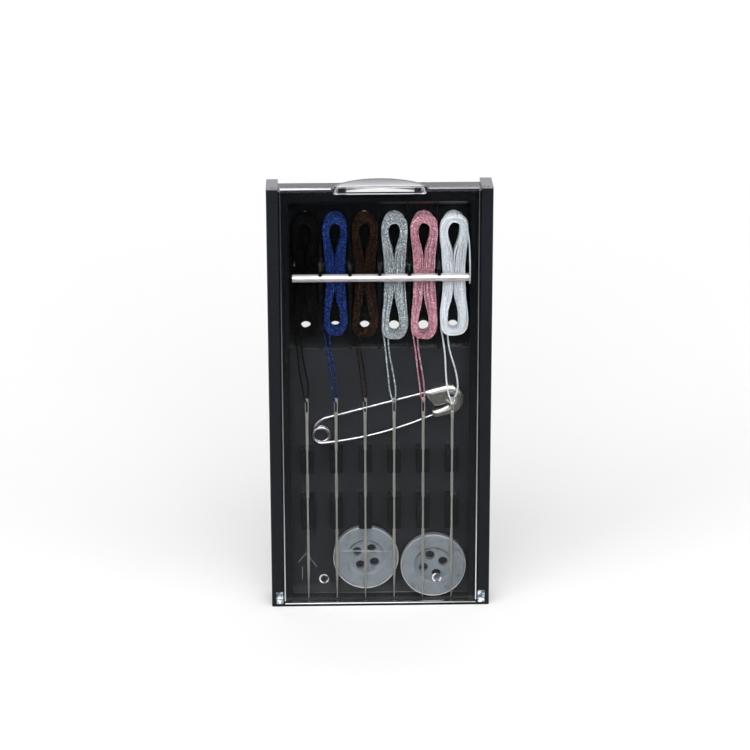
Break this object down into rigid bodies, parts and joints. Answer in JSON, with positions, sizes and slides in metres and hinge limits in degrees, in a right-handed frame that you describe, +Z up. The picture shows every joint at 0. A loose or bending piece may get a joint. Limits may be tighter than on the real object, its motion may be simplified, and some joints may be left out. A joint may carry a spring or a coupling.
{
  "type": "pocket sewing kit",
  "caption": "Slim pocket sewing kit: black tray under a clear sliding lid, holding threaded needles with thread hanks, a safety pin and shirt buttons.",
  "frame": {"origin": "centre of the bounding box's foot, on the surface the kit stands on", "axes": "+Z up along the kit's length, the way the lid slides open; the clear lid faces -Y; +X to the right seen from the front"},
  "size_m": [0.042, 0.0086, 0.084],
  "materials": {
    "case_plastic": "black moulded styrene, semi gloss",
    "clear_plastic": "clear moulded styrene, polished",
    "bar_steel": "bright drawn wire",
    "needle_steel": "bright nickel-plated",
    "pin_steel": "bright nickel-plated",
    "button_resin": "translucent pearly resin",
    "thread_black": "spun polyester thread",
    "thread_blue": "spun polyester thread",
    "thread_brown": "spun polyester thread",
    "thread_grey": "spun polyester thread",
    "thread_pink": "spun polyester thread",
    "thread_white": "spun polyester thread"
  },
  "bodies": {
    "tray": {"tray": "case_plastic", "thread_bar": "bar_steel", "needle_1": "needle_steel", "needle_2": "needle_steel", "needle_3": "needle_steel", "needle_4": "needle_steel", "needle_5": "needle_steel", "needle_6": "needle_steel", "thread_hank_black": "thread_black", "thread_hank_blue": "thread_blue", "thread_hank_brown": "thread_brown", "thread_hank_grey": "thread_grey", "thread_hank_pink": "thread_pink", "thread_hank_white": "thread_white", "thread_tail_black": "thread_black", "thread_tail_blue": "thread_blue", "thread_tail_brown": "thread_brown", "thread_tail_grey": "thread_grey", "thread_tail_pink": "thread_pink", "thread_tail_white": "thread_white", "safety_pin_frame": "pin_steel", "safety_pin_cap": "pin_steel", "button_left": "button_resin", "button_right": "button_resin"},
    "lid": {"lid": "clear_plastic"},
    "pin_arm": {"safety_pin_arm": "pin_steel"}
  },
  "joints": [
    {"name": "lid_slide", "type": "slide", "parent": "tray", "child": "lid", "axis": [0, 0, 1], "range_m": [0, 0.0736]},
    {"name": "pin_arm_press", "type": "hinge", "parent": "tray", "child": "pin_arm", "pos_m": [-0.01117, 0.00127, 0.0339], "axis": [0, -1, 0], "range_deg": [0, 8], "stiffness_Nm_per_rad": 0.0005, "springref_deg": -17.19}
  ]
}
